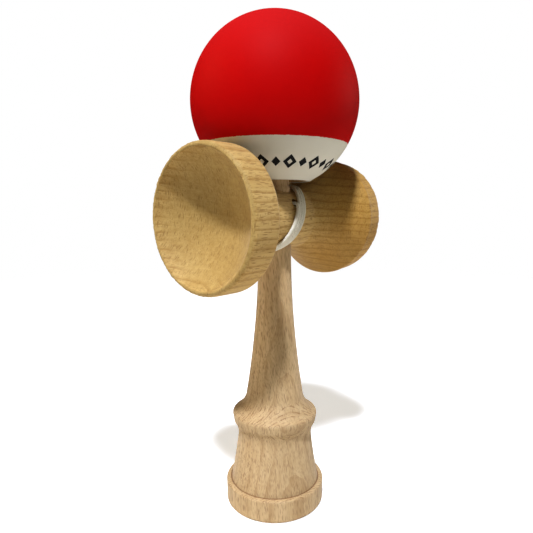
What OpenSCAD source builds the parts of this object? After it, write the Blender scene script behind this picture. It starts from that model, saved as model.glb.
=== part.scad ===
// Kendama: a cup-and-ball toy. The ken (handle and spike) stands on its base, the sarado
// (cross-piece with a big and a small cup) is wedged on it, and the tama (ball) sits on the
// spike. The string is wound round the sarado's waist and runs up behind the ball.
// +Z is up and the origin is the middle of the base. The big cup faces -X, the small cup +X.

/* [Ken] */
// Radius of the foot ring
foot_r = 19.1; // [17.5:0.1:20]
// Height of the foot ring
foot_h = 8.9; // [7:0.1:10]
// Radius of the collar above the foot
collar_r = 16.3; // [15.6:0.1:17]
// Depth of the base cup
base_cup_depth = 6; // [5:0.5:8]
// Inner radius of the rim round the base cup
base_cup_r = 15.6; // [15:0.1:16]
// Radius of the shaft where it leaves the collar
shaft_low_r = 11.1; // [10.5:0.1:12]
// Radius of the shaft where it meets the cross-piece
shaft_top_r = 6.1; // [6:0.05:6.3]
// Height of the tip of the spike
spike_tip_z = 162; // [155:0.5:162]

/* [Sarado] */
// Height of the middle line of the cross-piece
sarado_z = 110.5; // [110:0.1:111]
// Distance from the handle's axis to the rim of the big cup
big_reach = 37.1; // [36:0.1:38]
// Distance from the handle's axis to the rim of the small cup
small_reach = 39; // [37.5:0.1:40]
// Radius of the waist between the cups
waist_r = 11; // [10.5:0.1:11]
// Outer radius of the big cup
big_cup_r = 24.4; // [23.5:0.1:24.5]
// Outer radius of the small cup
small_cup_r = 22.9; // [22:0.1:23.5]
// Radius of the bowl in the big cup
big_bowl_r = 28; // [26:0.5:31]
// Radius of the bowl in the small cup
small_bowl_r = 27; // [25:0.5:31]

/* [Tama] */
// Radius of the ball
ball_r = 29.7; // [29.5:0.1:30]
// Height of the middle of the ball
ball_z = 150.8; // [150.5:0.1:151]
// Height of the flat round the mouth of the ball's hole
ball_flat_z = 123.9; // [123.5:0.1:124.5]
// Radius of the wooden bead that holds the string in the ball
bead_r = 3.6; // [3.2:0.1:3.6]

/* [String] */
// Diameter of the string
cord_d = 1.3; // [1.2:0.1:1.4]
// Number of turns that lie side by side on the waist
turns = 3.5; // [3.5:0.5:3.5]

/* [Hidden] */
$fn = 128;
wood = "#dcb78c";
wood_cross = "#d2a35f";
paint = "#c8141c";
cord_white = "#e9e6df";
cord_r = cord_d / 2;

// Ken
foot_crease_r = 17;
cone_top = [14.35, 26];
collar_edge = [15.8, 32.7];
collar_h = 36.9;
shaft_low_z = 42.5;
shaft_top_z = 99;
tenon_top_z = 121.8;
tenon_top_r = 5.6;
spike_low_r = 5.3;
spike_tip_r = 2;
shaft_steps = 14;
string_hole_r = 1.5;
string_hole_z = 116;
knot_pocket_r = 2.4;
knot_pocket_y = 2;
knot_r = 1.8;
knot_y = 3.85;

// Sarado
flare_gap = 1.4;
ball_drop = ball_z - sarado_z;
rim_w = 1.8;
big_shoulder_x = 25.3;
small_shoulder_x = 29.2;
flare_steps = 10;

// Tama
mouth_r = 10.6;
mouth_z = 125.4;
hole_top_z = 163;
hole_top_r = 4.3;
chamber_z = 171;
seat_z = 174.8;
lip_r = 2;
bead_z = 170;
bead_bore_r = 1;
bead_knot_r = 1.9;
bead_knot_z = 164.4;

// String: the band leans, so that it passes the spike on one side and the shaft on the other
lean = 4.9;
pass_lean = 3.5;
band_shift = -0.3;
band_in = 11.08;
band_out = band_in + cord_d;
band_half_w = turns * cord_d / 2;
band_steps = 72;
lead_route = [[0, 2, 116], [0, -3, 116], [0, -8, 116], [0, -9.15, 116]];
riser_route = [[1, 13.5, 110.5], [3.5, 16, 115.5], [4.8, 19, 121.5], [5.5, 22.6, 128],
               [5.5, 26.6, 134.8], [5, 29.6, 142.5], [4.4, 31, 150.5], [3.6, 30.2, 158.5],
               [2.7, 27.2, 166], [2, 22.6, 172.2], [1.3, 16.4, 177.3], [0.7, 9.9, 180.6],
               [0.3, 5.6, 181.7], [0.1, 2.7, 181.6], [0, 0.8, 180.4], [0, 0, 178],
               [0, 0, 175], [0, 0, 171], [0, 0, 166.3]];
cord_sides = 8;

// Points of a circular arc through a, b and c, without its first point
function centre_of(a, b, c) =
    let (d = 2 * (a.x * (b.y - c.y) + b.x * (c.y - a.y) + c.x * (a.y - b.y)),
         aa = a * a, bb = b * b, cc = c * c)
    [(aa * (b.y - c.y) + bb * (c.y - a.y) + cc * (a.y - b.y)) / d,
     (aa * (c.x - b.x) + bb * (a.x - c.x) + cc * (b.x - a.x)) / d];
function sweep_angle(from, to, sense) = sense > 0 ? (to - from + 720) % 360 : -((from - to + 720) % 360);
function arc(a, b, c, n = 8) =
    let (m = centre_of(a, b, c), r = norm(a - m),
         from = atan2(a.y - m.y, a.x - m.x), to = atan2(c.y - m.y, c.x - m.x),
         sense = cross(b - a, c - b),
         sweep = sweep_angle(from, to, sense))
    [for (i = [1 : n]) m + r * [cos(from + sweep * i / n), sin(from + sweep * i / n)]];

// Radius of the shaft at height z
function shaft_r(z) =
    shaft_top_r + (shaft_low_r - shaft_top_r)
    * pow((shaft_top_z - z) / (shaft_top_z - shaft_low_z), 1.85);

// Bowl in the base, from the middle to its rim
base_bowl_r = (pow(base_cup_r, 2) + pow(base_cup_depth, 2)) / (2 * base_cup_depth);
function base_cup_outline() =
    let (reach = asin(base_cup_r / base_bowl_r))
    [for (i = [0 : 12]) let (a = reach * i / 12)
        [base_bowl_r * sin(a), base_cup_depth - base_bowl_r * (1 - cos(a))]];

function ken_outline() = concat(
    base_cup_outline(),
    [[foot_r - 1.2, 0]],
    arc([foot_r - 1.2, 0], [foot_r - 0.4, 0.4], [foot_r - 0.1, 1.8], 5),
    [[foot_r, foot_h - 1]],
    arc([foot_r, foot_h - 1], [foot_r - 0.2, foot_h - 0.25], [foot_r - 0.8, foot_h], 4),
    [[foot_crease_r + 0.2, foot_h + 0.05]],
    arc([foot_crease_r + 0.2, foot_h + 0.05], [15.65, 17], cone_top, 4),
    arc(cone_top, [14.3, 28.6], collar_edge, 8),
    [[collar_r, collar_h - 1.6]],
    arc([collar_r, collar_h - 1.6], [collar_r - 0.2, collar_h - 0.5], [collar_r - 1, collar_h], 4),
    arc([collar_r - 1, collar_h], [13.3, 38.7], [shaft_low_r + 0.8, 40.6], 6),
    [for (i = [0 : shaft_steps])
        let (z = shaft_low_z + (shaft_top_z - shaft_low_z) * i / shaft_steps)
        [shaft_r(z), z]],
    [[tenon_top_r, tenon_top_z], [spike_low_r, tenon_top_z + 0.6]],
    [[spike_tip_r + 1.2, spike_tip_z - 4]],
    arc([spike_tip_r + 1.2, spike_tip_z - 4], [spike_tip_r + 0.1, spike_tip_z - 1], [0, spike_tip_z], 8));

module ken() color(wood) difference() {
    rotate_extrude() polygon(ken_outline());
    translate([0, 20, string_hole_z]) rotate([90, 0, 0]) cylinder(r = string_hole_r, h = 40, $fn = 48);
    translate([0, 10, string_hole_z]) rotate([90, 0, 0])
        cylinder(r = knot_pocket_r, h = 10 - knot_pocket_y, $fn = 48);
}

// Height of the flare above the middle line: it clears the ball by flare_gap
function flare_r(x) = ball_drop - sqrt(pow(ball_r + flare_gap, 2) - x * x);
flare_x0 = sqrt(pow(ball_r + flare_gap, 2) - pow(ball_drop - waist_r, 2));

// Outlines of the two halves run from the middle outwards, as [distance along X, radius]
function big_half() =
    let (edge = big_cup_r - 1.1, inner = big_cup_r - rim_w)
    concat(
        [for (i = [0 : flare_steps])
            let (x = flare_x0 + (big_shoulder_x - flare_x0) * i / flare_steps) [x, flare_r(x)]],
        arc([big_shoulder_x, flare_r(big_shoulder_x)], [big_shoulder_x + 0.7, big_cup_r - 0.25],
            [big_shoulder_x + 1.8, big_cup_r], 4),
        [[big_reach - 1.9, big_cup_r]],
        arc([big_reach - 1.9, big_cup_r], [big_reach - 0.5, big_cup_r - 0.3], [big_reach, edge], 6),
        arc([big_reach, edge], [big_reach - 0.15, edge - 0.4], [big_reach - 0.6, inner], 4),
        bowl(big_reach - 0.6, inner, big_bowl_r));
function small_half() =
    let (edge = small_cup_r - 1.3, inner = small_cup_r - 0.3 - rim_w)
    concat(
        [[10.5, waist_r]],
        arc([10.5, waist_r], [20.4, 16.7], [small_shoulder_x, small_cup_r], 8),
        arc([small_shoulder_x, small_cup_r], [small_shoulder_x + 0.9, small_cup_r + 0.25],
            [small_shoulder_x + 2, small_cup_r], 4),
        [[small_reach - 1.6, small_cup_r - 0.4]],
        arc([small_reach - 1.6, small_cup_r - 0.4], [small_reach - 0.4, small_cup_r - 0.7],
            [small_reach, edge], 5),
        arc([small_reach, edge], [small_reach - 0.15, edge - 0.45], [small_reach - 0.6, inner], 4),
        bowl(small_reach - 0.6, inner, small_bowl_r));
// Bowl from its rim at [x, r] to the middle line
function bowl(x, r, bowl_r) =
    let (m = x + sqrt(bowl_r * bowl_r - r * r), reach = asin(r / bowl_r))
    [for (i = [1 : 14]) let (a = reach * (1 - i / 14)) [m - bowl_r * cos(a), bowl_r * sin(a)]];

// The whole outline as [radius, height], turned so that the big cup is on top
function cross_outline() =
    let (small = small_half(), big = big_half(), last = len(small) - 1)
    concat([for (i = [0 : last]) [small[last - i].y, -small[last - i].x]], [for (p = big) [p.y, p.x]]);

// Tapered hole for the ken's tenon
module tenon_hole()
    rotate_extrude() polygon([[0, shaft_top_z - 2], [shaft_top_r + 0.04, shaft_top_z - 2],
        [shaft_top_r, shaft_top_z], [tenon_top_r, tenon_top_z], [tenon_top_r, tenon_top_z + 2],
        [0, tenon_top_z + 2]]);

module sarado() color(wood_cross) difference() {
    translate([0, 0, sarado_z]) rotate([0, -90, 0]) rotate_extrude() polygon(cross_outline());
    tenon_hole();
    translate([0, 0, string_hole_z]) rotate([90, 0, 0]) cylinder(r = string_hole_r, h = 20, $fn = 48);
}

// Height of the ball's surface at radius r, above or below its middle
function ball_top(r) = ball_z + sqrt(ball_r * ball_r - r * r);
flat_r = sqrt(ball_r * ball_r - pow(ball_z - ball_flat_z, 2));

function tama_outline() =
    let (low = -asin((ball_z - ball_flat_z) / ball_r),
         lip_out = string_hole_r + lip_r,
         high = acos(lip_out / ball_r))
    concat(
        [[mouth_r, mouth_z]],
        [[flat_r - 0.9, ball_flat_z], [flat_r + 0.4, ball_flat_z]],
        [for (i = [1 : 40]) let (a = low + (high - low) * i / 40)
            [ball_r * cos(a), ball_z + ball_r * sin(a)]],
        [for (a = [75 : -15 : 0])
            [lip_out - lip_r * cos(a), ball_top(lip_out) - lip_r + lip_r * sin(a)]],
        [[string_hole_r, seat_z], [hole_top_r, chamber_z], [hole_top_r, hole_top_z]],
        [[mouth_r - 0.4, mouth_z + 1.2]]);

module tama() color(paint) rotate_extrude() polygon(tama_outline());

module bead() color(wood) translate([0, 0, bead_z]) difference() {
    sphere(r = bead_r, $fn = 64);
    translate([0, 0, -bead_r - 1]) cylinder(r = bead_bore_r, h = 2 * bead_r + 2, $fn = 32);
}

module ken_knot() color(cord_white) translate([0, knot_y, string_hole_z]) sphere(r = knot_r, $fn = 40);

module bead_knot() color(cord_white) translate([0, 0, bead_knot_z]) sphere(r = bead_knot_r, $fn = 40);

// Tube along a route of points
function unit(v) = v / norm(v);
function tangent(route, i) = unit(route[min(i + 1, len(route) - 1)] - route[max(i - 1, 0)]);
function smooth(p) = concat(
    [for (i = [0 : len(p) - 2])
        let (a = p[max(i - 1, 0)], b = p[i], c = p[i + 1], d = p[min(i + 2, len(p) - 1)])
        each [b, (9 * (b + c) - a - d) / 16]],
    [p[len(p) - 1]]);
module cord(route, side = [1, 0, 0]) {
    n = len(route);
    points = [for (i = [0 : n - 1])
        let (t = tangent(route, i), u = unit(side - (side * t) * t), v = cross(t, u))
        for (k = [0 : cord_sides - 1])
            let (a = 360 * k / cord_sides) route[i] + cord_r * (cos(a) * u + sin(a) * v)];
    walls = [for (i = [0 : n - 2]) for (k = [0 : cord_sides - 1])
        let (a = i * cord_sides, k2 = (k + 1) % cord_sides)
        [a + k, a + cord_sides + k, a + cord_sides + k2, a + k2]];
    ends = [[for (k = [0 : cord_sides - 1]) k],
            [for (k = [cord_sides - 1 : -1 : 0]) (n - 1) * cord_sides + k]];
    polyhedron(points, concat(walls, ends), convexity = 4);
}

module string_lead() color(cord_white) cord(smooth(lead_route));
module string_riser() color(cord_white) cord(smooth(riser_route));

// Leaning band of turns round the waist; angle 0 is the top and 90 faces -Y
function band_x(a) = lean * cos(a) + pass_lean * pow(cos(a), 5) + band_shift;
module string_winding() {
    corners = [[-1, 0.3], [-0.85, 1], [0.85, 1], [1, 0.3], [1, 0], [-1, 0]];
    m = len(corners);
    points = [for (i = [0 : band_steps - 1]) let (a = 360 * i / band_steps)
        for (c = corners)
            let (r = band_in + (band_out - band_in) * c.y)
            [band_x(a) + band_half_w * c.x, -r * sin(a), sarado_z + r * cos(a)]];
    walls = [for (i = [0 : band_steps - 1]) for (k = [0 : m - 1])
        let (a = i * m, b = ((i + 1) % band_steps) * m, k2 = (k + 1) % m)
        [a + k, b + k, b + k2, a + k2]];
    color(cord_white) polyhedron(points, walls, convexity = 6);
}

ken();
sarado();
tama();
bead();
ken_knot();
bead_knot();
string_lead();
string_winding();
string_riser();
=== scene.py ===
"""Looks of the kendama: turned beech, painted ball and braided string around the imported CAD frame.

Outlines, routes and wood figures are in millimetres, in the CAD frame.
"""

from functools import cache
import math

import bmesh
import bpy
import numpy as np
from mathutils import Matrix, Vector, noise


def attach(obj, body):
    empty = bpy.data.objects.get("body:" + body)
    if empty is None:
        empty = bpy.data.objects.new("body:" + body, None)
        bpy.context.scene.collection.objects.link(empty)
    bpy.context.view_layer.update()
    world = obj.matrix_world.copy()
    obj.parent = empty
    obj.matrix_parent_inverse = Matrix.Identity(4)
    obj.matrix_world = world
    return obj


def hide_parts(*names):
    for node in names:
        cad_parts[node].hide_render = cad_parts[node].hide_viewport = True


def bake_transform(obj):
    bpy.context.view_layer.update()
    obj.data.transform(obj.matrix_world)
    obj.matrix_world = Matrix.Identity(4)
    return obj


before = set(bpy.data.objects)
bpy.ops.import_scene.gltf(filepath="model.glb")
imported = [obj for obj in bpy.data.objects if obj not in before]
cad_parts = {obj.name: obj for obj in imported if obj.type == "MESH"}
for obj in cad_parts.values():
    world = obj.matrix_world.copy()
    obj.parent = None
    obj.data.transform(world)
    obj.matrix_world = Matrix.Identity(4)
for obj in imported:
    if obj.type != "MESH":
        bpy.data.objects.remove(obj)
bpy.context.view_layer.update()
MM = 0.001

# ---------------------------------------------------------------- driving sizes, as in the CAD source
FOOT_R, FOOT_H = 19.1, 8.9
BASE_CUP_R, BASE_CUP_DEPTH = 15.6, 6.0
CONE_TOP, COLLAR_EDGE = (14.35, 26), (15.8, 32.7)
COLLAR_R, COLLAR_TOP = 16.3, 36.9
SHAFT_LOW_R, SHAFT_LOW_Z = 11.1, 42.5
SHAFT_TOP_R, SHAFT_TOP_Z, SHAFT_CURVE = 6.1, 99.0, 1.85
TENON_TOP_R, TENON_TOP_Z = 5.6, 121.8
SPIKE_LOW_R, SPIKE_TIP_R, SPIKE_TIP_Z = 5.3, 2.0, 162.0
STRING_HOLE_R, STRING_HOLE_Z = 1.5, 116.0
KNOT_POCKET_R, KNOT_POCKET_Y, KNOT_Y = 2.4, 2.0, 3.85

SARADO_Z, WAIST_R, FLARE_GAP = 110.5, 11.0, 1.4
BIG_REACH, SMALL_REACH = 37.1, 39.0
BIG_CUP_R, SMALL_CUP_R, RIM_W = 24.4, 22.9, 1.8
BIG_BOWL_R, SMALL_BOWL_R = 28.0, 27.0
BIG_SHOULDER_X, SMALL_SHOULDER_X = 25.3, 29.2

BALL_R, BALL_Z, BALL_FLAT_Z = 29.7, 150.8, 123.9
MOUTH_R, MOUTH_Z, LIP_R = 10.6, 125.4, 2.0
HOLE_TOP_R, HOLE_TOP_Z, CHAMBER_Z, SEAT_Z = 4.3, 163.0, 171.0, 174.8
BEAD_KNOT_Z = 164.4
CORD_R = 0.65

# ---------------------------------------------------------------- sizes of the looks alone
SHAFT_STEPS, FLARE_STEPS, BALL_STEPS = 40, 18, 110
KEN_SEGMENTS, SARADO_SEGMENTS, BALL_SEGMENTS = 180, 220, 220
GROOVE_R, GROOVE_DEPTH, TOOL_MARK = 17.2, 0.25, 0.05
WORN_FROM_RIM, WORN_FADE = 2.6, 1.6  # along the cup's axis
WORN_EVERYWHERE, WORN_FINE, WORN_COARSE, WORN_EDGE = 0.03, 0.32, 0.14, 0.26
PAINT_EDGE_Z = 136.5
MARK_COUNT, MARK_LATITUDE, FIRST_MARK = 28, -46.9, 0.05
BIG_MARK, SMALL_MARK = (2.3, 2.95, 1.4), (1.45, 2.0, 1.45)  # half the width and height, and the stroke
INK_TOP, INK_EDGE = 0.035, -0.02  # above the paint

# ---------------------------------------------------------------- camera
CAMERA_AZIMUTH, CAMERA_PITCH = math.radians(-49.6), math.radians(8.88)
CAMERA_DISTANCE, CAMERA_HEIGHT = 176.0, 114.5


def make_camera():
    data = bpy.data.cameras.new("camera")
    data.lens, data.sensor_width = 31.94, 36.0
    data.shift_x, data.shift_y = -0.0154, 0.0278
    data.clip_start, data.clip_end = 0.01, 20.0
    camera = bpy.data.objects.new("camera", data)
    bpy.context.scene.collection.objects.link(camera)
    away = Vector((math.sin(CAMERA_AZIMUTH), -math.cos(CAMERA_AZIMUTH), 0.0))
    camera.location = (away * CAMERA_DISTANCE + Vector((0, 0, CAMERA_HEIGHT))) * MM
    back = away * math.cos(CAMERA_PITCH) + Vector((0, 0, math.sin(CAMERA_PITCH)))
    camera.rotation_mode = "QUATERNION"
    camera.rotation_quaternion = (-back).to_track_quat("-Z", "Y")
    bpy.context.scene.camera = camera


# ---------------------------------------------------------------- mesh helpers
ON_AXIS = 1e-6  # a radius below this is on the axis


def smoothstep(t):
    """Goes smoothly from 0 to 1 as t does, and stays there."""
    t = min(1.0, max(0.0, t))
    return t * t * (3 - 2 * t)


def arc(a, b, c, n):
    """Points of the circular arc from a through b to c, without a itself."""
    (ax, ay), (bx, by), (cx, cy) = a, b, c
    d = 2 * (ax * (by - cy) + bx * (cy - ay) + cx * (ay - by))
    aa, bb, cc = ax * ax + ay * ay, bx * bx + by * by, cx * cx + cy * cy
    mx = (aa * (by - cy) + bb * (cy - ay) + cc * (ay - by)) / d
    my = (aa * (cx - bx) + bb * (ax - cx) + cc * (bx - ax)) / d
    radius = math.hypot(ax - mx, ay - my)
    start, stop = math.atan2(ay - my, ax - mx), math.atan2(cy - my, cx - mx)
    turn = 2 * math.pi
    if (bx - ax) * (cy - by) - (by - ay) * (cx - bx) > 0:
        sweep = (stop - start) % turn
    else:
        sweep = -((start - stop) % turn)
    angles = [start + sweep * i / n for i in range(1, n + 1)]
    return [(mx + radius * math.cos(t), my + radius * math.sin(t)) for t in angles]


def densify(outline, step):
    """The outline with extra points, so that no stretch is longer than step."""
    out = [outline[0]]
    for a, b in zip(outline, outline[1:]):
        n = max(1, math.ceil(math.dist(a, b) / step))
        out += [(a[0] + (b[0] - a[0]) * i / n, a[1] + (b[1] - a[1]) * i / n) for i in range(1, n + 1)]
    return out


def new_object(name, mesh):
    obj = bpy.data.objects.new(name, mesh)
    bpy.context.scene.collection.objects.link(obj)
    return obj


def object_from(name, bm):
    """Makes an object of a bmesh, with its faces turned outwards."""
    bmesh.ops.recalc_face_normals(bm, faces=bm.faces)
    mesh = bpy.data.meshes.new(name)
    bm.to_mesh(mesh)
    bm.free()
    return new_object(name, mesh)


def lathe(name, outline, segments, closed=False, shape=None):
    """Turns an outline of (radius, height) round Z. shape moves a point: x, y and z to (x, y, z)."""
    bm = bmesh.new()
    rings = []
    for r, z in outline:
        ring = []
        for k in range(1 if r < ON_AXIS else segments):
            t = 2 * math.pi * k / segments
            p = (r * math.cos(t), r * math.sin(t), z)
            p = shape(*p) if shape else p
            ring.append(bm.verts.new([x * MM for x in p]))
        rings.append(ring)
    pairs = list(zip(rings, rings[1:])) + ([(rings[-1], rings[0])] if closed else [])
    for a, b in pairs:
        for k in range(segments):
            k2 = (k + 1) % segments
            corners = [a[k % len(a)], a[k2 % len(a)], b[k2 % len(b)], b[k % len(b)]]
            corners = list(dict.fromkeys(corners))
            if len(corners) > 2:
                bm.faces.new(corners)
    return object_from(name, bm)


def smooth(obj, angle=32):
    """Smooth shading, apart from edges sharper than angle in degrees."""
    obj.data.polygons.foreach_set("use_smooth", [True] * len(obj.data.polygons))
    obj.data.set_sharp_from_angle(angle=math.radians(angle))


def cut(obj, *cutters):
    """Cuts the cutters out of obj, and removes them."""
    for c in cutters:
        m = obj.modifiers.new("cut", "BOOLEAN")
        m.operation, m.object, m.solver = "DIFFERENCE", c, "EXACT"
    graph = bpy.context.evaluated_depsgraph_get()
    obj.data = bpy.data.meshes.new_from_object(obj.evaluated_get(graph))
    obj.modifiers.clear()
    for c in cutters:
        bpy.data.objects.remove(c)


def finish_piece(obj, materials, slot, body, *nodes):
    """Gives a piece its materials, hides the CAD nodes that it stands for and hangs it on the body that it
    rides. slot is not used.
    """
    obj.data.materials.clear()
    for m in materials:
        obj.data.materials.append(m)
    if nodes:
        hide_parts(*nodes)
    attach(obj, body)


def tube(name, path, radius_at, sides=24):
    """A closed tube along path; radius_at(angle, distance) gives its radius, in millimetres."""
    pts = np.array(path, float)
    along = np.gradient(pts, axis=0)
    along /= np.linalg.norm(along, axis=1)[:, None]
    distance = np.concatenate([[0], np.cumsum(np.linalg.norm(np.diff(pts, axis=0), axis=1))])
    side = np.cross(along[0], [0.3, 0.2, 0.9])
    verts, faces = [], []
    for i, (p, t) in enumerate(zip(pts, along)):
        side = side - (side @ t) * t
        side /= np.linalg.norm(side)
        up = np.cross(t, side)
        for k in range(sides):
            a = 2 * math.pi * k / sides
            r = radius_at(a, distance[i])
            verts.append((p + r * (math.cos(a) * side + math.sin(a) * up)) * MM)
    for i in range(len(pts) - 1):
        for k in range(sides):
            k2 = (k + 1) % sides
            faces.append([i * sides + k, i * sides + k2, (i + 1) * sides + k2, (i + 1) * sides + k])
    faces.append(list(range(sides - 1, -1, -1)))
    faces.append([(len(pts) - 1) * sides + k for k in range(sides)])
    mesh = bpy.data.meshes.new(name)
    mesh.from_pydata([tuple(v) for v in verts], [], faces)
    uv = mesh.uv_layers.new(name="along")
    for poly in mesh.polygons[:-2]:
        i, k = divmod(poly.index, sides)
        corners = [(k, i), (k + 1, i), (k + 1, i + 1), (k, i + 1)]
        for loop, (u, v) in zip(poly.loop_indices, corners):
            uv.data[loop].uv = (u / sides, distance[v])
    mesh.update()
    obj = new_object(name, mesh)
    smooth(obj, 60)
    return obj


# ---------------------------------------------------------------- string
# The band leans, so that it passes the spike on one side and the shaft on the other.
LEAN, PASS_LEAN, BAND_SHIFT, TURN_R = 4.9, 3.5, -0.3, 11.73
# Its start, the last turn's lowest point, its end and the step between points are in degrees round the
# waist, from the top of a turn towards -Y.
BAND_START, BAND_LAST_LOW, BAND_END, BAND_STEP = 85, 1260, 1342, 8
MIDDLE_TURN = 1.5  # turns from the band's start to the middle of its width
LEAVE_OUT, LEAVE_SHIFT, LEAVE_HASTE = 1.7, 0.5, 1.9  # how the string leaves the band after the last turn
PATH_STEP = 0.28
# The radius of the braid is a mean and a ridge, as shares of the cord's.
BRAID_STRANDS, BRAID_PITCH, BRAID_MEAN, BRAID_RIDGE = 4, 5.2, 0.91, 0.07
# KNOT_CLOSED is the share of a closed loop that a knot runs, and KNOT_THIN how thin it is pulled.
KNOT_POINTS, KNOT_SIZE, KNOT_CLOSED, KNOT_THIN = 140, 0.42, 0.985, 0.9
# The route out of the ken to the band, and from the band up the back of the ball and down to the bead.
LEAD = [(0, 2, 116), (0, -3, 116), (0, -8, 116), (0, -9.5, 116), (-0.2, -10.8, 115.4), (-0.9, -11.5, 113.6)]
RISER = [(1, 13.5, 110.5), (3.5, 16, 115.5), (4.8, 19, 121.5), (5.5, 22.6, 128), (5.5, 26.6, 134.8),
         (5, 29.6, 142.5), (4.4, 31, 150.5), (3.6, 30.2, 158.5), (2.7, 27.2, 166), (2, 22.6, 172.2),
         (1.3, 16.4, 177.3), (0.7, 9.9, 180.6), (0.3, 5.6, 181.7), (0.1, 2.7, 181.6), (0, 0.8, 180.4),
         (0, 0, 178), (0, 0, 175), (0, 0, 171), (0, 0, 166.3)]


def band_point(degrees):
    """A point of the leaning turns round the waist: 0 is the top and 90 faces -Y."""
    a = math.radians(degrees)
    # each turn lies one cord's width beside the last
    offset = 2 * CORD_R * ((degrees - BAND_START) / 360 - MIDDLE_TURN)
    leave = (degrees - BAND_LAST_LOW) / 90
    r = TURN_R + LEAVE_OUT * smoothstep(leave * LEAVE_HASTE)
    x = LEAN * math.cos(a) + PASS_LEAN * math.cos(a) ** 5 + BAND_SHIFT
    x += offset * (1 - smoothstep(leave)) - LEAVE_SHIFT * smoothstep(leave)
    return (x, -r * math.sin(a), SARADO_Z + r * math.cos(a))


def catmull_rom(points, step):
    """A smooth curve through the points, with a point about every step."""
    p = np.array([points[0], *points, points[-1]], float)
    out = []
    for a, b, c, d in zip(p, p[1:], p[2:], p[3:]):
        n = max(2, math.ceil(np.linalg.norm(c - b) / step))
        for i in range(n):
            t = i / n
            out.append(0.5 * (2 * b + (c - a) * t + (2 * a - 5 * b + 4 * c - d) * t * t
                              + (3 * b - a - 3 * c + d) * t ** 3))
    out.append(p[-1])
    return np.array(out)


def string_path():
    """The whole string, from the ken's knot to the bead's."""
    band = [band_point(d) for d in range(BAND_START, BAND_END, BAND_STEP)]
    return catmull_rom(LEAD + band + RISER, PATH_STEP)


def braid_radius(angle, distance):
    """A round braid: two sets of strands that cross."""
    twist = distance * 2 * math.pi / BRAID_PITCH
    ridge = max(math.cos(BRAID_STRANDS * (angle - twist)), math.cos(BRAID_STRANDS * (angle + twist)))
    return CORD_R * (BRAID_MEAN + BRAID_RIDGE * ridge)


def make_string():
    path = string_path()
    string = tube("string", path, braid_radius)
    string.data.materials.append(string_material())
    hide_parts("string_lead", "string_winding", "string_riser")
    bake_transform(string)


def make_knot(name, node, centre, turn, body):
    """An overhand knot: a short tube along a trefoil."""
    path = []
    for i in range(KNOT_POINTS):
        t = 2 * math.pi * i / (KNOT_POINTS - 1) * KNOT_CLOSED
        trefoil = Vector((math.sin(t) + 2 * math.sin(2 * t), math.cos(t) - 2 * math.cos(2 * t),
                          -1.3 * math.sin(3 * t)))
        path.append(turn @ (trefoil * KNOT_SIZE) + Vector(centre))
    knot = tube(name, path, lambda angle, distance: KNOT_THIN * braid_radius(angle, distance), sides=18)
    finish_piece(knot, [string_material()], "cord", body, node)


# ---------------------------------------------------------------- material helpers
WAVE_SCALE = 2 * math.pi / 20  # gives a wave texture one band in each unit


def material(name):
    """A new material and its node tree."""
    m = bpy.data.materials.new(name)
    m.use_nodes = True
    return m, m.node_tree


def feed(tree, socket, value):
    """Links the socket to value if that is an output, and otherwise sets it to that number or colour."""
    if isinstance(value, bpy.types.NodeSocket):
        tree.links.new(value, socket)
    else:
        socket.default_value = value


def add(tree, kind, settings=None, **inputs):
    """Adds a node. inputs are socket names, with _ for a space, and their values or the outputs to link."""
    node = tree.nodes.new(kind)
    for key, value in (settings or {}).items():
        setattr(node, key, value)
    for key, value in inputs.items():
        feed(tree, node.inputs[key.replace("_", " ")], value)
    return node


def maths(tree, operation, a, b=0.0, clamp=False):
    """The result of an operation on two numbers or outputs."""
    node = add(tree, "ShaderNodeMath", {"operation": operation, "use_clamp": clamp})
    feed(tree, node.inputs[0], a)
    feed(tree, node.inputs[1], b)
    return node.outputs[0]


def times(tree, first, *others):
    """The product of numbers and outputs."""
    for other in others:
        first = maths(tree, "MULTIPLY", first, other)
    return first


def vector(tree, operation, a, b=None, **inputs):
    """The node of a vector operation on a, or on a and b."""
    node = add(tree, "ShaderNodeVectorMath", {"operation": operation}, **inputs)
    feed(tree, node.inputs[0], a)
    if b is not None:
        feed(tree, node.inputs[1], b)
    return node


def axes(tree, place):
    """The three parts of a vector, as outputs named X, Y and Z."""
    return add(tree, "ShaderNodeSeparateXYZ", Vector=place).outputs


def place_on_piece(tree):
    """The place in metres, in the frame in which the piece was made."""
    return add(tree, "ShaderNodeTexCoord").outputs["Object"]


def place_in_mm(tree):
    return vector(tree, "SCALE", place_on_piece(tree), Scale=1 / MM).outputs[0]


def faces_axis(tree, axis):
    """How far the surface faces along X, Y or Z."""
    return axes(tree, add(tree, "ShaderNodeNewGeometry").outputs["Normal"])[axis]


def ramp(tree, value, low, high):
    """0 below low and 1 above high, smoothly; low may be above high, to turn it round."""
    first, last = (0.0, 1.0) if low < high else (1.0, 0.0)
    node = add(tree, "ShaderNodeMapRange", {"interpolation_type": "SMOOTHSTEP"}, Value=value,
               From_Min=min(low, high), From_Max=max(low, high), To_Min=first, To_Max=last)
    return node.outputs["Result"]


def between(tree, share, low, high):
    """low where share is 0 and high where it is 1, with a straight line from one to the other."""
    return add(tree, "ShaderNodeMapRange", Value=share, To_Min=low, To_Max=high).outputs["Result"]


def mix(tree, share, a, b, blend="MIX"):
    """Colour a turning into b as share goes from 0 to 1. The node's sockets 6 and 7 are its colours."""
    node = add(tree, "ShaderNodeMix", {"data_type": "RGBA", "blend_type": blend, "clamp_factor": True})
    feed(tree, node.inputs[0], share)
    for i, colour in ((6, a), (7, b)):
        feed(tree, node.inputs[i], (*colour, 1.0) if isinstance(colour, tuple) else colour)
    return node.outputs[2]


def stretched(tree, place, sizes):
    """place divided by sizes: one unit is then sizes[i] millimetres along axis i."""
    return vector(tree, "DIVIDE", place, sizes).outputs[0]


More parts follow.
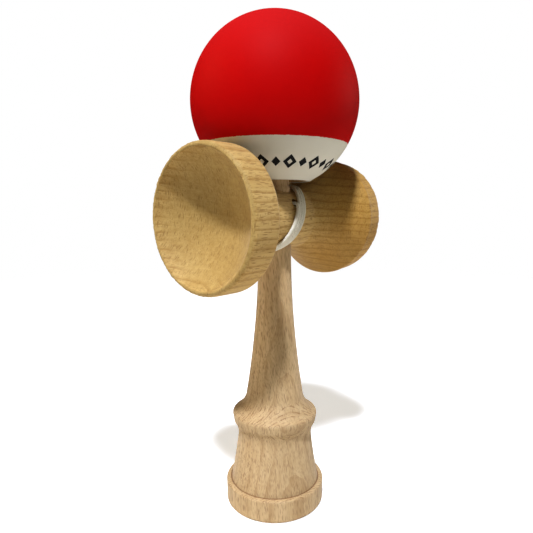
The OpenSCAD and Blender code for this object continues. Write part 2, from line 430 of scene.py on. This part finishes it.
def noise_at(tree, place, sizes, detail=2.0, roughness=0.5):
    """Soft noise from 0 to 1, in lumps of about the given sizes."""
    node = add(tree, "ShaderNodeTexNoise", Vector=stretched(tree, place, sizes), Scale=1.0,
               Detail=detail, Roughness=roughness)
    return node.outputs["Fac"]


def bands(tree, place, sizes, profile, distortion, detail_scale=1.0):
    """Wavy bands across X, one in each sizes[0] millimetres."""
    settings = {"wave_type": "BANDS", "bands_direction": "X", "wave_profile": profile}
    wave = add(tree, "ShaderNodeTexWave", settings, Vector=stretched(tree, place, sizes), Scale=WAVE_SCALE,
               Distortion=distortion, Detail=3.0, Detail_Scale=detail_scale)
    return wave.outputs["Fac"]


def specks(tree, place, sizes, reach, share):
    """Lens-shaped marks: one in each cell of the given sizes, of which only a share is there."""
    cells = stretched(tree, place, sizes)
    cell = add(tree, "ShaderNodeTexVoronoi", {"feature": "F1"}, Vector=cells, Scale=1.0)
    chance = add(tree, "ShaderNodeSeparateColor", Color=cell.outputs["Color"]).outputs[0]
    chosen = maths(tree, "LESS_THAN", chance, share)
    return times(tree, ramp(tree, cell.outputs["Distance"], reach, reach * 0.35), chosen)


def principled(tree, **inputs):
    """Sets or links the sockets of the material's shader, with _ for a space in their names."""
    shader = tree.nodes["Principled BSDF"]
    for key, value in inputs.items():
        feed(tree, shader.inputs[key.replace("_", " ")], value)


def bump(tree, height, distance_mm, strength):
    """The normal of a surface with the given height, of which 1 stands for distance_mm."""
    node = add(tree, "ShaderNodeBump", Height=height, Strength=strength, Distance=distance_mm * MM)
    return node.outputs["Normal"]


# ---------------------------------------------------------------- materials
def along_fibres(tree, xyz, grain, tilt, seed):
    """Places in mm with Z along the fibres, which wander a little. tilt turns X and Y round them."""
    first, second, third = {"Z": "XYZ", "X": "YZX"}[grain]
    swapped = add(tree, "ShaderNodeCombineXYZ", X=xyz[first], Y=xyz[second], Z=xyz[third]).outputs[0]
    turned = add(tree, "ShaderNodeMapping", Vector=swapped, Location=(seed, seed * 0.7, seed * 1.3),
                 Rotation=(0.03, 0.05, tilt), Scale=(1 / MM, 1 / MM, 1 / MM))
    straight = turned.outputs[0]
    bends = stretched(tree, straight, (9, 9, 22))
    wander = add(tree, "ShaderNodeTexNoise", Vector=bends, Scale=1.0, Detail=2.0).outputs["Color"]
    shift = vector(tree, "SCALE", wander, Scale=2.6).outputs[0]
    return vector(tree, "ADD", straight, shift).outputs[0]


def painted_groove_shade(tree, xyz, groove_r, groove_z):
    """A mask for painted shade in a groove round Z: 1 in the groove and 0 away from it."""
    level = add(tree, "ShaderNodeCombineXYZ", X=xyz["X"], Y=xyz["Y"]).outputs[0]
    outward = vector(tree, "LENGTH", level).outputs["Value"]
    half_plane = add(tree, "ShaderNodeCombineXYZ", X=outward, Y=xyz["Z"]).outputs[0]
    away = vector(tree, "DISTANCE", half_plane, (groove_r * MM, groove_z * MM, 0.0)).outputs["Value"]
    return ramp(tree, away, 0.42 * MM, 0.12 * MM)


def beech(name, grain, tones, end_tint, tilt, seed, ray_mm, ray_strength, pore_mm, pore_strength,
          ring_mm=2.6, ring_strength=0.3, side_rays=1.0, end_line_strength=0.3,
          painted_shade_tint=(1.0, 1.0, 1.0), painted_shade_from=(4.0, 16.0), groove=None):
    """Bare beech, with its fibres along grain. tilt turns the growth rings round them and seed moves them.

    tones are the light, dark and ray colours, and end_tint deepens end grain. ray_mm is the size of a ray
    fleck across the rings, along them and along the fibres, and pore_mm that of a pore. side_rays is how
    far rays show on side grain. painted_shade_tint is painted shade: it darkens one end of the piece, from
    the first place along the grain in painted_shade_from on to the second. groove is the radius and height
    of a groove that gets painted shade.
    """
    m, tree = material(name)
    light, dark, ray_colour = tones
    xyz = axes(tree, place_on_piece(tree))
    wood = along_fibres(tree, xyz, grain, tilt, seed)
    faced = maths(tree, "ABSOLUTE", faces_axis(tree, grain))
    end_grain = ramp(tree, faced, 0.25, 0.85)

    # growth rings are broad bands on side grain, and thin broken lines on end grain
    rings = bands(tree, wood, (ring_mm, ring_mm * 2, ring_mm * 9), "SAW", 2.4, 0.7)
    ring_line = times(tree, ramp(tree, rings, 0.60, 0.99), ramp(tree, faced, 0.82, 0.5))
    end_lines = ramp(tree, bands(tree, wood, (1.0, 2.2, 7.0), "SIN", 3.4), 0.80, 0.97)
    gaps = ramp(tree, noise_at(tree, wood, (2.2, 2.2, 2.2), 3.0), 0.40, 0.62)
    end_lines = times(tree, end_lines, ramp(tree, faced, 0.15, 0.5), gaps)

    across, along_ring, along = ray_mm
    rays = specks(tree, wood, ray_mm, 0.44, 0.46)
    rays = times(tree, rays, maths(tree, "ADD", side_rays, end_grain, clamp=True))
    short_rays = specks(tree, wood, (across * 0.45, along_ring * 0.7, along * 0.5), 0.46, 0.46)
    marks = maths(tree, "MAXIMUM", rays, times(tree, short_rays, 0.6))
    side_grain = maths(tree, "SUBTRACT", 1.0, times(tree, end_grain, 0.75))
    pores = times(tree, specks(tree, wood, pore_mm, 0.5, 0.68), side_grain)

    tone = noise_at(tree, wood, (7, 7, 45), 3.0, 0.55)
    streak = noise_at(tree, wood, (1.3, 1.3, 26), 2.0, 0.5)
    fibre = noise_at(tree, wood, (0.3, 0.3, 7), 3.0, 0.6)
    shade = times(tree, ramp(tree, tone, 0.3, 0.7), 0.30)
    for figure, weight in ((ring_line, ring_strength), (ramp(tree, streak, 0.35, 0.7), 0.34),
                           (ramp(tree, fibre, 0.3, 0.75), 0.28)):
        shade = maths(tree, "ADD", shade, times(tree, figure, weight), clamp=True)
    colour = mix(tree, shade, light, dark)
    for figure, strength in ((ring_line, ring_strength * 0.24), (marks, ray_strength),
                             (pores, pore_strength)):
        colour = mix(tree, times(tree, figure, strength), colour, ray_colour)
    # painted shade: one end of the piece is darker, standing for less light there
    painted_shade = ramp(tree, xyz[grain], painted_shade_from[0] * MM, painted_shade_from[1] * MM)
    colour = mix(tree, painted_shade, colour, painted_shade_tint, "MULTIPLY")
    # end grain drinks more light than side grain and looks deeper
    colour = mix(tree, end_grain, colour, end_tint, "MULTIPLY")
    colour = mix(tree, times(tree, end_lines, end_line_strength), colour, ray_colour)
    if groove:
        # painted shade: the groove is darkened towards the ray colour
        colour = mix(tree, times(tree, painted_groove_shade(tree, xyz, *groove), 0.75), colour, ray_colour)

    height = times(tree, fibre, 0.8)
    for figure, depth in ((marks, 0.6), (pores, 0.5), (ring_line, 0.4)):
        height = maths(tree, "SUBTRACT", height, times(tree, figure, depth))
    principled(tree, Base_Color=colour, Roughness=between(tree, tone, 0.58, 0.74),
               Normal=bump(tree, height, 0.05, 0.8), Specular_IOR_Level=0.3, Sheen_Weight=0.12,
               Sheen_Roughness=0.45, Sheen_Tint=(1.0, 0.94, 0.84, 1.0))
    return m


def ken_beech():
    tones = (0.67, 0.497, 0.278), (0.50, 0.333, 0.160), (0.26, 0.138, 0.055)
    return beech("look_ken_beech", "Z", tones, end_tint=(1.0, 0.99, 0.97), tilt=-1.15, seed=0.0,
                 ray_mm=(1.3, 0.50, 4.2), ray_strength=0.60, pore_mm=(0.30, 0.27, 3.6), pore_strength=0.42,
                 ring_mm=2.9, ring_strength=0.34, side_rays=1.0, end_line_strength=0.85,
                 # painted shade: the foot, cone and collar are darker, fading out up the shaft, and the
                 # foot's groove gets painted shade
                 painted_shade_tint=(0.88, 0.885, 0.90), painted_shade_from=(62.0, 34.0), groove=(GROOVE_R, FOOT_H - 0.05))


def sarado_beech():
    tones = (0.61, 0.425, 0.160), (0.45, 0.275, 0.080), (0.26, 0.128, 0.028)
    return beech("look_sarado_beech", "X", tones, end_tint=(0.81, 0.81, 0.76), tilt=1.42, seed=37.0,
                 ray_mm=(3.4, 0.42, 1.3), ray_strength=0.62, pore_mm=(0.48, 0.40, 3.2), pore_strength=0.66,
                 ring_mm=2.7, ring_strength=0.62, side_rays=0.25, end_line_strength=0.12,
                 # painted shade: darker and warmer towards the small cup, which the ball shades
                 painted_shade_tint=(0.92, 0.80, 0.53), painted_shade_from=(4.0, 22.0))


@cache
def ball_beech():
    """Bare beech of the ball's inside and of the bead, made once for both."""
    tones = (0.60, 0.40, 0.20), (0.45, 0.27, 0.11), (0.27, 0.14, 0.05)
    return beech("look_ball_beech", "Z", tones, end_tint=(0.9, 0.85, 0.75), tilt=1.9, seed=81.0,
                 ray_mm=(2.0, 0.6, 3.0), ray_strength=0.5, pore_mm=(0.34, 0.30, 2.4), pore_strength=0.22)


def paint_material():
    """Soft-touch paint: red above the edge, off-white below it."""
    m, tree = material("look_soft_paint")
    place = place_in_mm(tree)
    ragged = times(tree, noise_at(tree, place, (0.9, 0.9, 0.9), 3.0, 0.7), 0.5)
    edge_height = maths(tree, "ADD", axes(tree, place)["Z"], ragged)
    above = ramp(tree, edge_height, PAINT_EDGE_Z + 0.15, PAINT_EDGE_Z + 0.33)
    cloud = noise_at(tree, place, (17, 17, 17), 3.0)
    red = mix(tree, cloud, (0.47, 0.0010, 0.0010), (0.52, 0.0016, 0.0016))
    # painted highlight: the red turns paler and less saturated where it faces up
    red = mix(tree, ramp(tree, faces_axis(tree, "Z"), 0.15, 0.95), red, (0.51, 0.0115, 0.0125))
    white = mix(tree, cloud, (0.65, 0.62, 0.525), (0.71, 0.685, 0.595))
    scuff = ramp(tree, noise_at(tree, place, (2.4, 2.4, 2.4), 6.0, 0.75), 0.62, 0.78)
    white = mix(tree, times(tree, scuff, 0.25), white, (0.42, 0.38, 0.32))
    grit = noise_at(tree, place, (0.22, 0.22, 0.22), 2.0)
    height = maths(tree, "ADD", times(tree, above, 0.6), times(tree, grit, 0.25))
    principled(tree, Base_Color=mix(tree, above, white, red), Roughness=between(tree, cloud, 0.56, 0.62),
               Normal=bump(tree, height, 0.05, 0.6), Specular_IOR_Level=0.045)
    return m


def mark_material():
    """Black print, a little worn."""
    m, tree = material("look_black_print")
    place = place_in_mm(tree)
    worn = ramp(tree, noise_at(tree, place, (0.7, 0.7, 0.7), 5.0, 0.7), 0.66, 0.80)
    grit = noise_at(tree, place, (0.25, 0.25, 0.25))
    principled(tree, Base_Color=mix(tree, worn, (0.008, 0.008, 0.009), (0.06, 0.056, 0.05)), Roughness=0.6,
               Normal=bump(tree, grit, 0.03, 0.5), Specular_IOR_Level=0.1)
    return m


@cache
def string_material():
    """White braid, with fine threads across each strand. Made once, for the string and its knots."""
    m, tree = material("look_white_braid")
    way_round = axes(tree, add(tree, "ShaderNodeUVMap", {"uv_map": "along"}).outputs["UV"])
    around = times(tree, way_round["X"], 48 * math.pi)
    threads = []
    for slant in (9.6, -9.6):
        phase = maths(tree, "ADD", around, times(tree, way_round["Y"], slant))
        threads.append(maths(tree, "ABSOLUTE", maths(tree, "SINE", phase)))
    thread = maths(tree, "MAXIMUM", *threads)
    soil = ramp(tree, noise_at(tree, place_in_mm(tree), (3.5, 3.5, 3.5), 4.0), 0.45, 0.75)
    colour = mix(tree, thread, (0.58, 0.54, 0.42), (0.90, 0.86, 0.73))
    colour = mix(tree, times(tree, soil, 0.35), colour, (0.60, 0.55, 0.44))
    principled(tree, Base_Color=colour, Roughness=0.7, Normal=bump(tree, thread, 0.06, 0.8),
               Sheen_Weight=0.15, Sheen_Roughness=0.4, Specular_IOR_Level=0.12)
    return m


# ---------------------------------------------------------------- turned pieces
def dish(rim_r, depth, steps):
    """A bowl from its middle, at height depth, to its rim, at height 0."""
    ball = (rim_r ** 2 + depth ** 2) / (2 * depth)
    reach = math.asin(rim_r / ball)
    angles = [reach * i / steps for i in range(steps + 1)]
    return [(ball * math.sin(t), depth - ball * (1 - math.cos(t))) for t in angles]


def shaft_radius(z):
    share = (SHAFT_TOP_Z - z) / (SHAFT_TOP_Z - SHAFT_LOW_Z)
    return SHAFT_TOP_R + (SHAFT_LOW_R - SHAFT_TOP_R) * max(0.0, share) ** SHAFT_CURVE


def ken_outline():
    """From the middle of the base cup out, and up to the spike's tip, as (radius, height)."""
    out = dish(BASE_CUP_R, BASE_CUP_DEPTH, 16)
    # the foot, with its edges rounded
    out += [(BASE_CUP_R + 0.15, 0.0), (FOOT_R - 1.2, 0.0)]
    out += arc(out[-1], (FOOT_R - 0.4, 0.4), (FOOT_R - 0.1, 1.8), 6)
    out += [(FOOT_R, FOOT_H - 1)]
    out += arc(out[-1], (FOOT_R - 0.2, FOOT_H - 0.25), (FOOT_R - 0.8, FOOT_H), 5)
    # the groove, the cone and the collar
    out += [(GROOVE_R + 0.3, FOOT_H + 0.02), (GROOVE_R, FOOT_H - GROOVE_DEPTH)]
    out += [(GROOVE_R - 0.22, FOOT_H + 0.12)]
    out += arc(out[-1], (CONE_TOP[0] + 1.3, 17), CONE_TOP, 10)
    out += arc(out[-1], (CONE_TOP[0] - 0.05, CONE_TOP[1] + 2.6), COLLAR_EDGE, 12)
    out += [(COLLAR_R, COLLAR_TOP - 1.6)]
    out += arc(out[-1], (COLLAR_R - 0.2, COLLAR_TOP - 0.5), (COLLAR_R - 1, COLLAR_TOP), 6)
    out += arc(out[-1], (SHAFT_LOW_R + 2.2, COLLAR_TOP + 1.8), (SHAFT_LOW_R + 0.8, COLLAR_TOP + 3.7), 9)
    # the shaft, the tenon through the cross-piece and the spike
    shaft_h = SHAFT_TOP_Z - SHAFT_LOW_Z
    heights = [SHAFT_LOW_Z + shaft_h * i / SHAFT_STEPS for i in range(SHAFT_STEPS + 1)]
    out += [(shaft_radius(z), z) for z in heights]
    out += [(TENON_TOP_R, TENON_TOP_Z), (SPIKE_LOW_R, TENON_TOP_Z + 0.6)]
    out += [(SPIKE_TIP_R + 1.2, SPIKE_TIP_Z - 4)]
    out += arc(out[-1], (SPIKE_TIP_R + 0.1, SPIKE_TIP_Z - 1), (0.0, SPIKE_TIP_Z), 10)
    return [(max(0.0, r), z) for r, z in out]


def turned_shape(x, y, z):
    """Fine marks of the turning tool, and wood that isn't quite round."""
    r = math.hypot(x, y)
    if r < ON_AXIS:
        return (x, y, z)
    wave = noise.noise(Vector((x * 0.16, y * 0.16, z * 0.05)))
    fine = noise.noise(Vector((x * 0.9, y * 0.9, z * 0.22)) + Vector((9.1, 3.7, 1.3)))
    grow = -TOOL_MARK * (0.5 + 0.3 * wave + 0.2 * fine)
    return (x * (1 + grow / r), y * (1 + grow / r), z)


def hole_along_y(r, low, high):
    """A cutter at the string hole's height. low and high are distances towards -Y."""
    cutter = lathe("cutter", [(0, low), (r, low), (r, high), (0, high)], 48)
    lift = Matrix.Translation((0, 0, STRING_HOLE_Z * MM))
    cutter.data.transform(lift @ Matrix.Rotation(math.pi / 2, 4, "X"))
    return cutter


def make_ken():
    ken = lathe("ken_wood", densify(ken_outline(), 1.2), KEN_SEGMENTS, shape=turned_shape)
    past = 12  # outside the wood
    cut(ken, hole_along_y(STRING_HOLE_R, -past, past), hole_along_y(KNOT_POCKET_R, -past, -KNOT_POCKET_Y))
    smooth(ken)
    finish_piece(ken, [ken_beech()], "ken_wood", "handle", "ken")


def flare(x):
    """Radius of the cross-piece under the ball, which leaves a gap of FLARE_GAP."""
    return (BALL_Z - SARADO_Z) - math.sqrt((BALL_R + FLARE_GAP) ** 2 - x * x)


def bowl(x, r, bowl_r, steps=20):
    """A bowl from its rim, (x, r), to the middle line."""
    middle, reach = x + math.sqrt(bowl_r ** 2 - r * r), math.asin(r / bowl_r)
    angles = [reach * (1 - i / steps) for i in range(1, steps + 1)]
    return [(middle - bowl_r * math.cos(t), bowl_r * math.sin(t)) for t in angles]


def big_half():
    """From the waist out, over the rim and down the bowl, as (distance along X, radius)."""
    edge, inner, shoulder = BIG_CUP_R - 1.1, BIG_CUP_R - RIM_W, BIG_SHOULDER_X
    start = math.sqrt((BALL_R + FLARE_GAP) ** 2 - (BALL_Z - SARADO_Z - WAIST_R) ** 2)
    places = [start + (shoulder - start) * i / FLARE_STEPS for i in range(FLARE_STEPS + 1)]
    out = [(x, flare(x)) for x in places]
    out += arc(out[-1], (shoulder + 0.7, BIG_CUP_R - 0.25), (shoulder + 1.8, BIG_CUP_R), 6)
    out += [(BIG_REACH - 1.9, BIG_CUP_R)]
    out += arc(out[-1], (BIG_REACH - 0.5, BIG_CUP_R - 0.3), (BIG_REACH, edge), 9)
    out += arc(out[-1], (BIG_REACH - 0.15, edge - 0.4), (BIG_REACH - 0.6, inner), 6)
    return out + bowl(*out[-1], BIG_BOWL_R)


def small_half():
    """As big_half(), for the small cup."""
    edge, inner, shoulder = SMALL_CUP_R - 1.3, SMALL_CUP_R - 0.3 - RIM_W, SMALL_SHOULDER_X
    out = [(10.5, WAIST_R)]
    out += arc(out[-1], (20.4, 16.7), (shoulder, SMALL_CUP_R), 18)
    out += arc(out[-1], (shoulder + 0.9, SMALL_CUP_R + 0.25), (shoulder + 2, SMALL_CUP_R), 6)
    out += [(SMALL_REACH - 1.6, SMALL_CUP_R - 0.4)]
    out += arc(out[-1], (SMALL_REACH - 0.4, SMALL_CUP_R - 0.7), (SMALL_REACH, edge), 8)
    out += arc(out[-1], (SMALL_REACH - 0.15, edge - 0.45), (SMALL_REACH - 0.6, inner), 6)
    return out + bowl(*out[-1], SMALL_BOWL_R)


def nicked_shape(x, y, z):
    """Worn rims: the edge of each cup is a little uneven. The cross-piece stands along Z here."""
    r = math.hypot(x, y)
    if r < ON_AXIS:
        return (x, y, z)
    reach = BIG_REACH if z > 0 else SMALL_REACH
    rim = smoothstep((abs(z) - reach + WORN_FROM_RIM) / WORN_FADE) * smoothstep((r - 17.5) / 2.5)
    coarse = 0.5 + 0.5 * noise.noise(Vector((x * 0.45, y * 0.45, z * 0.3)))
    fine = 0.5 + 0.5 * noise.noise(Vector((x * 1.7, y * 1.7, z * 0.8 + 5)))
    inward = WORN_EVERYWHERE + WORN_FINE * rim * fine + WORN_COARSE * rim * coarse
    edge = WORN_EDGE * rim * fine
    return (x * (1 - inward / r), y * (1 - inward / r), z - math.copysign(edge, z))


def make_sarado():
    small, big = small_half(), big_half()
    outline = [(r, -x) for x, r in reversed(small)] + [(r, x) for x, r in big]
    outline = [(r if r > ON_AXIS else 0.0, z) for r, z in outline]
    sarado = lathe("sarado_wood", densify(outline, 0.8), SARADO_SEGMENTS, shape=nicked_shape)
    # the outline's +Z is the big cup's side, which faces -X
    sarado.data.transform(Matrix.Translation((0, 0, SARADO_Z * MM)) @ Matrix.Rotation(-math.pi / 2, 4, "Y"))
    below, above = SHAFT_TOP_Z - 2, TENON_TOP_Z + 2
    bore = lathe("cutter", [(0, below), (SHAFT_TOP_R + 0.04, below), (SHAFT_TOP_R, SHAFT_TOP_Z),
                            (TENON_TOP_R, TENON_TOP_Z), (TENON_TOP_R, above), (0, above)], KEN_SEGMENTS)
    cut(sarado, bore, hole_along_y(STRING_HOLE_R, 0.5, 14))
    smooth(sarado)
    finish_piece(sarado, [sarado_beech()], "cross_wood", "handle", "sarado")


# ---------------------------------------------------------------- ball
def ball_outline():
    """The closed outline as (radius, height), and the index at which the bare wood of the hole starts."""
    flat_r = math.sqrt(BALL_R ** 2 - (BALL_Z - BALL_FLAT_Z) ** 2)
    low = -math.asin((BALL_Z - BALL_FLAT_Z) / BALL_R)
    lip_out = STRING_HOLE_R + LIP_R
    high = math.acos(lip_out / BALL_R)
    low += (high - low) / 40  # leaves room for the flat's rounded edge
    angles = [low + (high - low) * i / BALL_STEPS for i in range(BALL_STEPS + 1)]
    out = [(MOUTH_R, MOUTH_Z), (flat_r - 1.0, BALL_FLAT_Z + 0.1), (flat_r - 0.8, BALL_FLAT_Z),
           (flat_r + 0.25, BALL_FLAT_Z), (flat_r + 0.5, BALL_FLAT_Z + 0.08)]
    out += [(BALL_R * math.cos(t), BALL_Z + BALL_R * math.sin(t)) for t in angles]
    lip_z = BALL_Z + math.sqrt(BALL_R ** 2 - lip_out ** 2) - LIP_R
    for degrees in range(80, -1, -10):
        t = math.radians(degrees)
        out.append((lip_out - LIP_R * math.cos(t), lip_z + LIP_R * math.sin(t)))
    bare = len(out)
    inner = [(STRING_HOLE_R, SEAT_Z), (HOLE_TOP_R, CHAMBER_Z), (HOLE_TOP_R, HOLE_TOP_Z),
             (MOUTH_R - 0.4, MOUTH_Z + 1.2), (MOUTH_R, MOUTH_Z)]
    return out + densify([out[-1]] + inner, 2.0)[1:-1], bare


def make_ball():
    outline, bare = ball_outline()
    ball = lathe("tama_painted", outline, BALL_SEGMENTS, closed=True)
    smooth(ball, 40)
    finish_piece(ball, [paint_material(), ball_beech()], "ball_paint", "ball", "tama")
    for poly in ball.data.polygons:
        if poly.index // BALL_SEGMENTS >= bare - 1 or poly.index < BALL_SEGMENTS:
            poly.material_index = 1


def on_ball(azimuth, latitude, across, up, lift):
    """A point in metres at lift above the paint, across and up from a place on the ball in millimetres."""
    lat = math.radians(latitude) + up / BALL_R
    lon = azimuth + across / (BALL_R * math.cos(math.radians(latitude)))
    r = BALL_R + lift
    return [r * math.cos(lat) * math.cos(lon) * MM, r * math.cos(lat) * math.sin(lon) * MM,
            (BALL_Z + r * math.sin(lat)) * MM]


def lozenge(bm, azimuth, latitude, half_w, half_h, stroke):
    """A thin printed lozenge on the ball: an outline of the given stroke, with its edges turned down."""
    inner = max(0.0, 1 - stroke / half_w)
    sizes = [(1.0, INK_EDGE), (1.0, INK_TOP), ((1 + inner) / 2, INK_TOP), (inner, INK_TOP)]
    sizes += [(inner, INK_EDGE)] if inner > 0 else []
    n, rings = 6, []
    for size, lift in sizes:
        ring = []
        for i in range(4 * n):
            side, t = i // n, (i % n) / n
            a, b = ((1, 0), (0, 1), (-1, 0), (0, -1), (1, 0))[side:side + 2]
            across = (a[0] + (b[0] - a[0]) * t) * half_w * size
            up = (a[1] + (b[1] - a[1]) * t) * half_h * size
            ring.append(on_ball(azimuth, latitude, across, up, lift))
        rings.append([bm.verts.new(p) for p in (ring if size > 0 else ring[:1])])
    for a, b in zip(rings, rings[1:]):
        for i in range(4 * n):
            k = (i + 1) % (4 * n)
            corners = [a[i], a[k], b[k % len(b)], b[i % len(b)]]
            bm.faces.new(list(dict.fromkeys(corners)))


def make_marks():
    """A plain row of lozenges round the white band, where such balls carry a print."""
    bm = bmesh.new()
    for i in range(MARK_COUNT):
        azimuth = 2 * math.pi * i / MARK_COUNT + FIRST_MARK
        lozenge(bm, azimuth, MARK_LATITUDE, *(SMALL_MARK if i % 2 else BIG_MARK))
    marks = object_from("tama_marks", bm)
    smooth(marks, 60)
    finish_piece(marks, [mark_material()], "ball_paint", "ball")


def dress_bead():
    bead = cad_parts["bead"]
    bead.data.materials.clear()
    bead.data.materials.append(ball_beech())


# ---------------------------------------------------------------- stage and light
LIGHT_DISTANCE, LIGHTS_AIM_Z, WORLD_LIGHT = 2.0, 0.1, 0.03
FLOOR_HALF_W, FLOOR_FADE = 1.5, (0.75, 0.15)  # the floor is gone at the first distance, whole at the second
FLOOR_WHITE, WARM_WHITE = (0.93, 0.93, 0.93), (0.93, 0.88, 0.77)
# Name, azimuth from the camera's and elevation in degrees, size in metres, power in watts and colour.
LIGHTS = [
    ("key", -9, 59.5, 0.17, 54.5, (0.94, 1.0, 1.15)),
    ("left_fill", -90, 30, 0.80, 14.2, (1.0, 0.86, 0.64)),
    ("right_rim", 112, 16, 0.80, 9.8, (1.0, 0.97, 0.90)),
]


def area_light(name, direction, distance, size, power, colour):
    """A square light at distance from the middle of the object, facing it."""
    data = bpy.data.lights.new(name, "AREA")
    data.size, data.energy, data.color = size, power, colour
    light = bpy.data.objects.new(name, data)
    bpy.context.scene.collection.objects.link(light)
    away = Vector(direction).normalized()
    light.location = away * distance + Vector((0, 0, LIGHTS_AIM_Z))
    light.rotation_mode = "QUATERNION"
    light.rotation_quaternion = away.to_track_quat("Z", "Y")


def make_stage():
    """A white floor that fades into the white surroundings, so that no horizon shows."""
    mesh = bpy.data.meshes.new("floor")
    corners = [(x * FLOOR_HALF_W, y * FLOOR_HALF_W, 0) for x, y in ((-1, -1), (1, -1), (1, 1), (-1, 1))]
    mesh.from_pydata(corners, [], [(0, 1, 2, 3)])
    floor = new_object("floor", mesh)
    m, tree = material("floor_white")
    seen = add(tree, "ShaderNodeLightPath").outputs["Is Camera Ray"]
    reach = vector(tree, "LENGTH", place_on_piece(tree)).outputs["Value"]
    # the light that it throws back is warm, and the picture sees a white floor that glows a little, so that
    # shadows on it stay pale
    principled(tree, Base_Color=mix(tree, seen, WARM_WHITE, FLOOR_WHITE), Roughness=0.9,
               Specular_IOR_Level=0.1, Emission_Color=(1, 1, 1, 1),
               Emission_Strength=times(tree, seen, 0.5), Alpha=ramp(tree, reach, *FLOOR_FADE))
    mesh.materials.append(m)


def make_world():
    """Surroundings that look white, and light the object only a little and warmly."""
    world = bpy.data.worlds.new("studio")
    bpy.context.scene.world = world
    world.use_nodes = True
    tree = world.node_tree
    seen = add(tree, "ShaderNodeLightPath").outputs["Is Camera Ray"]
    background = tree.nodes["Background"]
    feed(tree, background.inputs["Color"], mix(tree, seen, (1.0, 0.85, 0.60), (1.0, 1.0, 1.0)))
    feed(tree, background.inputs["Strength"], between(tree, seen, WORLD_LIGHT, 1.0))


def make_lights():
    """Each light stands at an azimuth from the camera's, to the right, and at an elevation."""
    for name, azimuth, elevation, size, power, colour in LIGHTS:
        turn, rise = CAMERA_AZIMUTH + math.radians(azimuth), math.radians(elevation)
        away = Vector((math.sin(turn) * math.cos(rise), -math.cos(turn) * math.cos(rise), math.sin(rise)))
        area_light(name, away, LIGHT_DISTANCE, size, power, colour)


# ---------------------------------------------------------------- build
def main():
    scene = bpy.context.scene
    scene.view_settings.view_transform = "Standard"
    scene.view_settings.gamma = 0.87
    make_camera()
    make_string()
    upright, lying = Matrix.Identity(3), Matrix.Rotation(math.pi / 2, 3, "X")
    make_knot("bead_knot_tied", "bead_knot", (0, 0, BEAD_KNOT_Z), upright, "string_end")
    make_knot("ken_knot_tied", "ken_knot", (0, KNOT_Y, STRING_HOLE_Z), lying, "handle")
    make_ken()
    make_sarado()
    make_ball()
    make_marks()
    dress_bead()
    make_stage()
    make_world()
    make_lights()


main()
